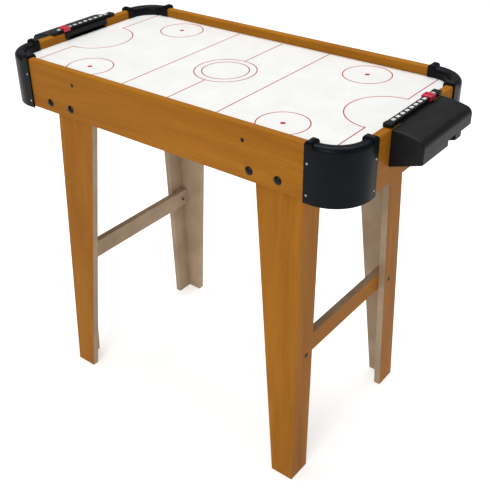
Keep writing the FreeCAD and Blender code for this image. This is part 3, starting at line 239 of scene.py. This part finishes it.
def metal(name, dark, light, low, high, cells):
    """Metal with fine marks from its making."""
    material, tree, shader = blank(name, low, metallic=1.0)
    marks = grain(tree, (cells, cells, cells), 3.0)
    tree.links.new(ramp(tree, marks, [(0.35, dark), (0.65, light)]), shader.inputs["Base Color"])
    tree.links.new(spread(tree, marks, low, high), shader.inputs["Roughness"])
    bump(tree, shader, marks, 0.0001, 0.1)
    return material


HONEY_DARK = (0.285, 0.098, 0.0050)
HONEY = (0.350, 0.132, 0.0085)
HONEY_LIGHT = (0.410, 0.162, 0.014)
RAW_DARK = (0.365, 0.268, 0.184)
RAW_LIGHT = (0.455, 0.344, 0.242)

rail_along_x = laminate("rail_laminate_x", 0, False)
rail_along_y = laminate("rail_laminate_y", 1, False)
leg_laminate = laminate("leg_laminate", 2, True)
stretcher_laminate = laminate("stretcher_laminate", 1, True)
fibreboard = raw_board("fibreboard")
field_coat = plastic(
    "field_coat", (0.79, 0.79, 0.78), (0.83, 0.83, 0.82), 0.30, 0.38, 700.0, 0.03
)
guard_black = plastic(
    "guard_black", (0.0022, 0.0030, 0.0046), (0.0038, 0.0048, 0.0068), 0.30, 0.38, 1400.0, 0.06, 0.09
)
goal_black = plastic(
    "goal_black", (0.0045, 0.0048, 0.0054), (0.0080, 0.0083, 0.0090), 0.38, 0.48, 1500.0, 0.12, 0.15
)
tile_white = plastic("tile_white", (0.74, 0.74, 0.72), (0.80, 0.80, 0.78), 0.30, 0.38, 900.0, 0.03)
slider_red = plastic("slider_red", (0.50, 0.016, 0.045), (0.58, 0.024, 0.06), 0.26, 0.34, 900.0, 0.04)
fan_black = plastic("fan_black", (0.014, 0.014, 0.015), (0.022, 0.022, 0.023), 0.42, 0.52, 1200.0, 0.12)
rocker_black = plastic("rocker_black", (0.010, 0.010, 0.011), (0.016, 0.016, 0.017), 0.22, 0.30, 900.0, 0.04)
lead_black = plastic("lead_black", (0.012, 0.012, 0.012), (0.020, 0.020, 0.020), 0.50, 0.60, 1500.0, 0.1)
print_red = plastic("print_red", (0.40, 0.028, 0.022), (0.47, 0.042, 0.034), 0.32, 0.40, 500.0, 0.02)
# Dark print of the tile numbers; the same material is painted shade in the recesses of the screw and bolt
# heads.
dark_print_and_shade = plastic("dark_print_and_shade", (0.012, 0.012, 0.013), (0.022, 0.022, 0.024), 0.45, 0.55, 700.0, 0.03)
bolt_black = plastic(
    "bolt_black", (0.0042, 0.0036, 0.0032), (0.0080, 0.0066, 0.0056), 0.26, 0.36, 900.0, 0.08, 0.16
)
zinc = metal("zinc", (0.30, 0.31, 0.33), (0.42, 0.43, 0.45), 0.34, 0.46, 1100.0)
steel = metal("steel", (0.52, 0.53, 0.54), (0.64, 0.65, 0.66), 0.26, 0.36, 1300.0)
bronze = metal("bronze", (0.42, 0.24, 0.10), (0.52, 0.32, 0.14), 0.40, 0.50, 1500.0)
motor_iron = metal("motor_iron", (0.10, 0.10, 0.11), (0.17, 0.17, 0.18), 0.45, 0.60, 700.0)

by_slot = {
    "raw_board": fibreboard,
    "coated_board": field_coat,
    "guard_plastic": guard_black,
    "goal_plastic": goal_black,
    "tile_plastic": tile_white,
    "slider_plastic": slider_red,
    "dark_steel": bolt_black,
    "zinc_steel": zinc,
    "fan_plastic": fan_black,
    "rocker_plastic": rocker_black,
    "bearing_bronze": bronze,
    "shaft_steel": steel,
    "motor_iron": motor_iron,
    "lead_cover": lead_black,
}


def cad_material(name, slot):
    """Material of a CAD node."""
    if slot == "rail_wood":
        return rail_along_x if name in ("apron_near", "apron_far") else rail_along_y
    if slot == "leg_wood":
        return stretcher_laminate if name.startswith("stretcher") else leg_laminate
    return by_slot[slot]


for part in frame["record"]["subparts"]:
    surface = cad_material(part["node"], part["material_slot"])
    slots = nodes[part["node"]].data.materials
    if len(slots) == 0:
        slots.append(surface)
    for index in range(len(slots)):
        slots[index] = surface


# Pieces made here.

def piece(name, points, faces, material, body):
    """Mesh piece that rides on a body."""
    mesh = bpy.data.meshes.new(name)
    mesh.from_pydata(points, [], faces)
    mesh.update()
    made = bpy.data.objects.new(name, mesh)
    bpy.context.scene.collection.objects.link(made)
    mesh.materials.append(material)
    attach(made, body)
    return made


class Shapes:
    """Points and faces of several solids that make one piece."""

    def __init__(self):
        self.points = []
        self.faces = []

    def band(self, rings, closed):
        """Solid drawn through rings of equally many points, closed into a loop or capped."""
        start = len(self.points)
        count = len(rings[0])
        for ring in rings:
            self.points.extend(ring)
        last = len(rings) if closed else len(rings) - 1
        for index in range(last):
            here = start + index * count
            there = start + (index + 1) % len(rings) * count
            for side in range(count):
                other = (side + 1) % count
                self.faces.append((here + side, here + other, there + other, there + side))
        if not closed:
            self.faces.append(tuple(start + side for side in reversed(range(count))))
            end = start + (len(rings) - 1) * count
            self.faces.append(tuple(end + side for side in range(count)))

    def strip(self, start, stop, width, low, high):
        """Straight flat strip between two points on the field."""
        run = Vector(stop) - Vector(start)
        across = Vector((-run.y, run.x)).normalized() * (width / 2)
        rings = []
        for place in (Vector(start), Vector(stop)):
            left = place + across
            right = place - across
            rings.append([
                (left.x, left.y, low), (right.x, right.y, low),
                (right.x, right.y, high), (left.x, left.y, high),
            ])
        self.band(rings, False)

    def arc(self, centre, radius, width, low, high, first=0.0, turn=math.tau):
        """Flat ring or part of one."""
        whole = turn == math.tau
        steps = max(LEAST_STEPS, int(turn / math.tau * RING_STEPS))
        rings = []
        for index in range(steps if whole else steps + 1):
            angle = first + turn * index / steps
            outer = radius + width / 2
            inner = radius - width / 2
            direction = (math.cos(angle), math.sin(angle))
            rings.append([
                (centre[0] + direction[0] * inner, centre[1] + direction[1] * inner, low),
                (centre[0] + direction[0] * outer, centre[1] + direction[1] * outer, low),
                (centre[0] + direction[0] * outer, centre[1] + direction[1] * outer, high),
                (centre[0] + direction[0] * inner, centre[1] + direction[1] * inner, high),
            ])
        self.band(rings, whole)

    def disc(self, centre, radius, low, high):
        """Flat disc."""
        rings = []
        for level in (low, high):
            rings.append([
                (
                    centre[0] + radius * math.cos(math.tau * index / DISC_SIDES),
                    centre[1] + radius * math.sin(math.tau * index / DISC_SIDES), level
                )
                for index in range(DISC_SIDES)
            ])
        self.band(rings, False)

    def piece(self, name, material, body, slot):
        """The shapes as one piece."""
        return piece(name, self.points, self.faces, material, body)


# Printed lines of the field.
LINE = 1.9 * MM
FIELD_HALF = 0.1635
LINE_ZONE_X = 0.098
GOAL_LINE_X = 0.302
CREASE_RADIUS = 0.063
RING_OUTER = 0.0525
RING_INNER = 0.0397
CIRCLE_X = 0.200
CIRCLE_Y = 0.118
CIRCLE_RADIUS = 0.040
DOT_RADIUS = 0.0042
INK_GAP = 0.02 * MM
INK_LIFT = 0.10 * MM

field_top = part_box("playing_surface")[1].z
ink_low = field_top + INK_GAP
ink_high = field_top + INK_LIFT
lines = Shapes()
lines.arc((0, 0), RING_OUTER, LINE, ink_low, ink_high)
lines.arc((0, 0), RING_INNER, LINE, ink_low, ink_high)
for _, side_y in SIDES:
    lines.strip(
        (0, side_y * (RING_OUTER + LINE / 2)), (0, side_y * FIELD_HALF), LINE, ink_low, ink_high
    )
for _, side_x in ENDS:
    zone_x = side_x * LINE_ZONE_X
    goal_x = side_x * GOAL_LINE_X
    lines.strip((zone_x, -FIELD_HALF), (zone_x, FIELD_HALF), LINE, ink_low, ink_high)
    first = side_x * math.pi / 2
    lines.arc((goal_x, 0), CREASE_RADIUS, LINE, ink_low, ink_high, first, math.pi)
    for _, side_y in SIDES:
        lines.strip(
            (goal_x, side_y * (CREASE_RADIUS - LINE / 2)), (goal_x, side_y * FIELD_HALF),
            LINE, ink_low, ink_high
        )
        centre = (side_x * CIRCLE_X, side_y * CIRCLE_Y)
        lines.arc(centre, CIRCLE_RADIUS, LINE, ink_low, ink_high)
        lines.disc(centre, DOT_RADIUS, ink_low, ink_high)
lines.piece("field_lines", print_red, "table", "coated_board")


# Numbers on the score tiles.
DIGIT_SIZE = 5.2 * MM
TILE_PITCH = 13.0 * MM
TILE_COUNT = 10
DIGIT_LIFT = 0.03 * MM


def digit(name, text, x, y, z, turn):
    """Flat number on a tile."""
    curve = bpy.data.curves.new(name, "FONT")
    curve.body = text
    curve.size = DIGIT_SIZE
    curve.align_x = "CENTER"
    curve.align_y = "CENTER"
    curve.extrude = DIGIT_LIFT
    curve.resolution_u = 3
    source = bpy.data.objects.new(name + "_outline", curve)
    bpy.context.scene.collection.objects.link(source)
    bpy.context.view_layer.update()
    mesh = bpy.data.meshes.new_from_object(source)
    bpy.data.objects.remove(source)
    mesh.transform(Matrix.Translation((x, y, z)) @ Matrix.Rotation(turn, 4, "Z"))
    mesh.materials.clear()
    mesh.materials.append(dark_print_and_shade)
    made = bpy.data.objects.new(name, mesh)
    bpy.context.scene.collection.objects.link(made)
    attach(made, "table")


for end, side_x in ENDS:
    low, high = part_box("score_tiles_" + end)
    middle_x = (low.x + high.x) / 2
    for index in range(TILE_COUNT):
        y = side_x * (index - (TILE_COUNT - 1) / 2) * TILE_PITCH
        turn = side_x * math.pi / 2
        digit("number_%s_%d" % (end, index), str(index), middle_x, y, high.z + DIGIT_LIFT, turn)


# Recesses in the domed heads of the screws and bolts, drawn as painted shade: thin dark patches on the
# domes.
BOLT_HEAD_RADIUS = 7.0 * MM
BOLT_HEAD_HEIGHT = 3.5 * MM
HEX_RADIUS = 2.6 * MM
SCREW_HEAD_RADIUS = 2.0 * MM
SCREW_HEAD_HEIGHT = 1.2 * MM
CROSS_ARM = 1.0 * MM
CROSS_WIDTH = 0.4 * MM
MARK_DEPTH = 0.25 * MM
MARK_LIFT = 0.04 * MM


def on_dome(x, y, sphere, height):
    """Height of a dome over its base, at a place across it."""
    return height - sphere + math.sqrt(sphere ** 2 - x ** 2 - y ** 2)


def dome_mark(shapes, origin, outward, head_radius, head_height, outline):
    """Thin dark patch on a dome, over an outline of points across it, as painted shade of a recess in the
    head.
    """
    sphere = (head_radius ** 2 + head_height ** 2) / (2 * head_height)
    turn = Vector((0, 0, 1)).rotation_difference(Vector(outward)).to_matrix()
    rings = []
    for lift in (-MARK_DEPTH, MARK_LIFT):
        ring = []
        for x, y in outline:
            z = on_dome(x, y, sphere, head_height) + lift
            ring.append(tuple(Vector(origin) + turn @ Vector((x, y, z))))
        rings.append(ring)
    shapes.band(rings, False)


def cross_outline(arm, width):
    """Outline of a cross."""
    half = width / 2
    corner = [(arm, -half), (arm, half), (half, half)]
    points = []
    for index in range(4):
        angle = math.pi / 2 * index
        for x, y in corner:
            points.append((
                x * math.cos(angle) - y * math.sin(angle), x * math.sin(angle) + y * math.cos(angle)
            ))
    return points


def hexagon_outline(radius):
    """Outline of a hexagon."""
    return [
        (radius * math.cos(math.pi / 3 * index), radius * math.sin(math.pi / 3 * index))
        for index in range(6)
    ]


BOLT_X = (0.237, 0.187)
BOLT_Z = 0.581
APRON_Y = 0.182
GUARD_Y = 0.185
GUARD_X = 0.353
GUARD_SCREW_X = 0.286
GUARD_SCREW_Y = 0.118
GUARD_SCREW_LEVELS = (0.623, 0.575)
marks = Shapes()
for _, side_x in ENDS:
    for _, side_y in SIDES:
        for x in BOLT_X:
            dome_mark(
                marks, (side_x * x, side_y * APRON_Y, BOLT_Z), (0, side_y, 0),
                BOLT_HEAD_RADIUS, BOLT_HEAD_HEIGHT, hexagon_outline(HEX_RADIUS)
            )
        for level in GUARD_SCREW_LEVELS:
            dome_mark(
                marks, (side_x * GUARD_SCREW_X, side_y * GUARD_Y, level), (0, side_y, 0),
                SCREW_HEAD_RADIUS, SCREW_HEAD_HEIGHT, cross_outline(CROSS_ARM, CROSS_WIDTH)
            )
            dome_mark(
                marks, (side_x * GUARD_X, side_y * GUARD_SCREW_Y, level), (side_x, 0, 0),
                SCREW_HEAD_RADIUS, SCREW_HEAD_HEIGHT, cross_outline(CROSS_ARM, CROSS_WIDTH)
            )
# Painted shade: the dark patches stand in for the shaded hex and cross recesses, which are not cut as holes.
marks.piece("head_recess_shade", dark_print_and_shade, "table", "dark_steel")


# Floor, light and camera.

def floor_material():
    """Pale studio floor."""
    material, tree, shader = blank("studio_floor", 0.9, specular=0.1)
    cloud = grain(tree, (2.0, 2.0, 2.0), 2.0)
    tree.links.new(
        ramp(tree, cloud, [(0.3, (0.93, 0.93, 0.93)), (0.7, (0.95, 0.95, 0.95))]),
        shader.inputs["Base Color"]
    )
    shader.inputs["Emission Color"].default_value = (1.0, 1.0, 1.0, 1.0)
    shader.inputs["Emission Strength"].default_value = FLOOR_GLOW
    return material


def studio_floor():
    """Wide level floor."""
    mesh = bpy.data.meshes.new("floor")
    half = 15.0
    mesh.from_pydata(
        [(-half, -half, 0), (half, -half, 0), (half, half, 0), (-half, half, 0)], [], [(0, 1, 2, 3)]
    )
    floor = bpy.data.objects.new("floor", mesh)
    bpy.context.scene.collection.objects.link(floor)
    mesh.materials.append(floor_material())
    floor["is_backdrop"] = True


def softbox(name, place, target, size, power):
    """Large soft light that points at a place."""
    data = bpy.data.lights.new(name, "AREA")
    data.shape = "RECTANGLE"
    data.size, data.size_y = size
    data.energy = power
    lamp = bpy.data.objects.new(name, data)
    lamp.location = place
    lamp.rotation_euler = (Vector(target) - Vector(place)).to_track_quat("-Z", "Y").to_euler()
    bpy.context.scene.collection.objects.link(lamp)


def studio_camera():
    """Camera at the photograph's place, with its roll and shift."""
    azimuth = 0.690975
    elevation = 0.543495
    roll = -0.02673
    focal = 816.573
    place = Vector((0.816867, -0.999794, 1.115580))
    centre = (-20.0, -20.0)
    forward = Vector((
        -math.sin(azimuth) * math.cos(elevation), math.cos(azimuth) * math.cos(elevation),
        -math.sin(elevation)
    ))
    right = Vector((math.cos(azimuth), math.sin(azimuth), 0.0))
    up = right.cross(forward)
    across = right * math.cos(roll) + up * math.sin(roll)
    upward = up * math.cos(roll) - right * math.sin(roll)
    data = bpy.data.cameras.new("camera")
    data.sensor_width = 36.0
    data.lens = focal * data.sensor_width / IMAGE_SIDE
    data.shift_x = -centre[0] / IMAGE_SIDE
    data.shift_y = centre[1] / IMAGE_SIDE
    camera = bpy.data.objects.new("camera", data)
    turn = Matrix((across, upward, -forward)).transposed()
    camera.matrix_world = Matrix.Translation(place) @ turn.to_4x4()
    bpy.context.scene.collection.objects.link(camera)
    bpy.context.scene.camera = camera


studio_floor()
world = bpy.data.worlds.new("studio")
world.use_nodes = True
background = world.node_tree.nodes["Background"]
background.inputs["Color"].default_value = (1.0, 1.0, 1.0, 1.0)
background.inputs["Strength"].default_value = WORLD_LIGHT
bpy.context.scene.world = world
bpy.context.scene.view_settings.view_transform = "Standard"
softbox("key", (0.6, -2.6, 2.2), (0.1, 0.0, 0.5), (1.6, 1.2), 34.0)
softbox("top", (-0.3, 0.5, 2.9), (0.0, 0.0, 0.5), (2.4, 2.0), 58.0)
softbox("end", (2.8, 0.3, 1.5), (0.2, 0.0, 0.5), (1.2, 1.2), 3.0)
studio_camera()

low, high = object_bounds()
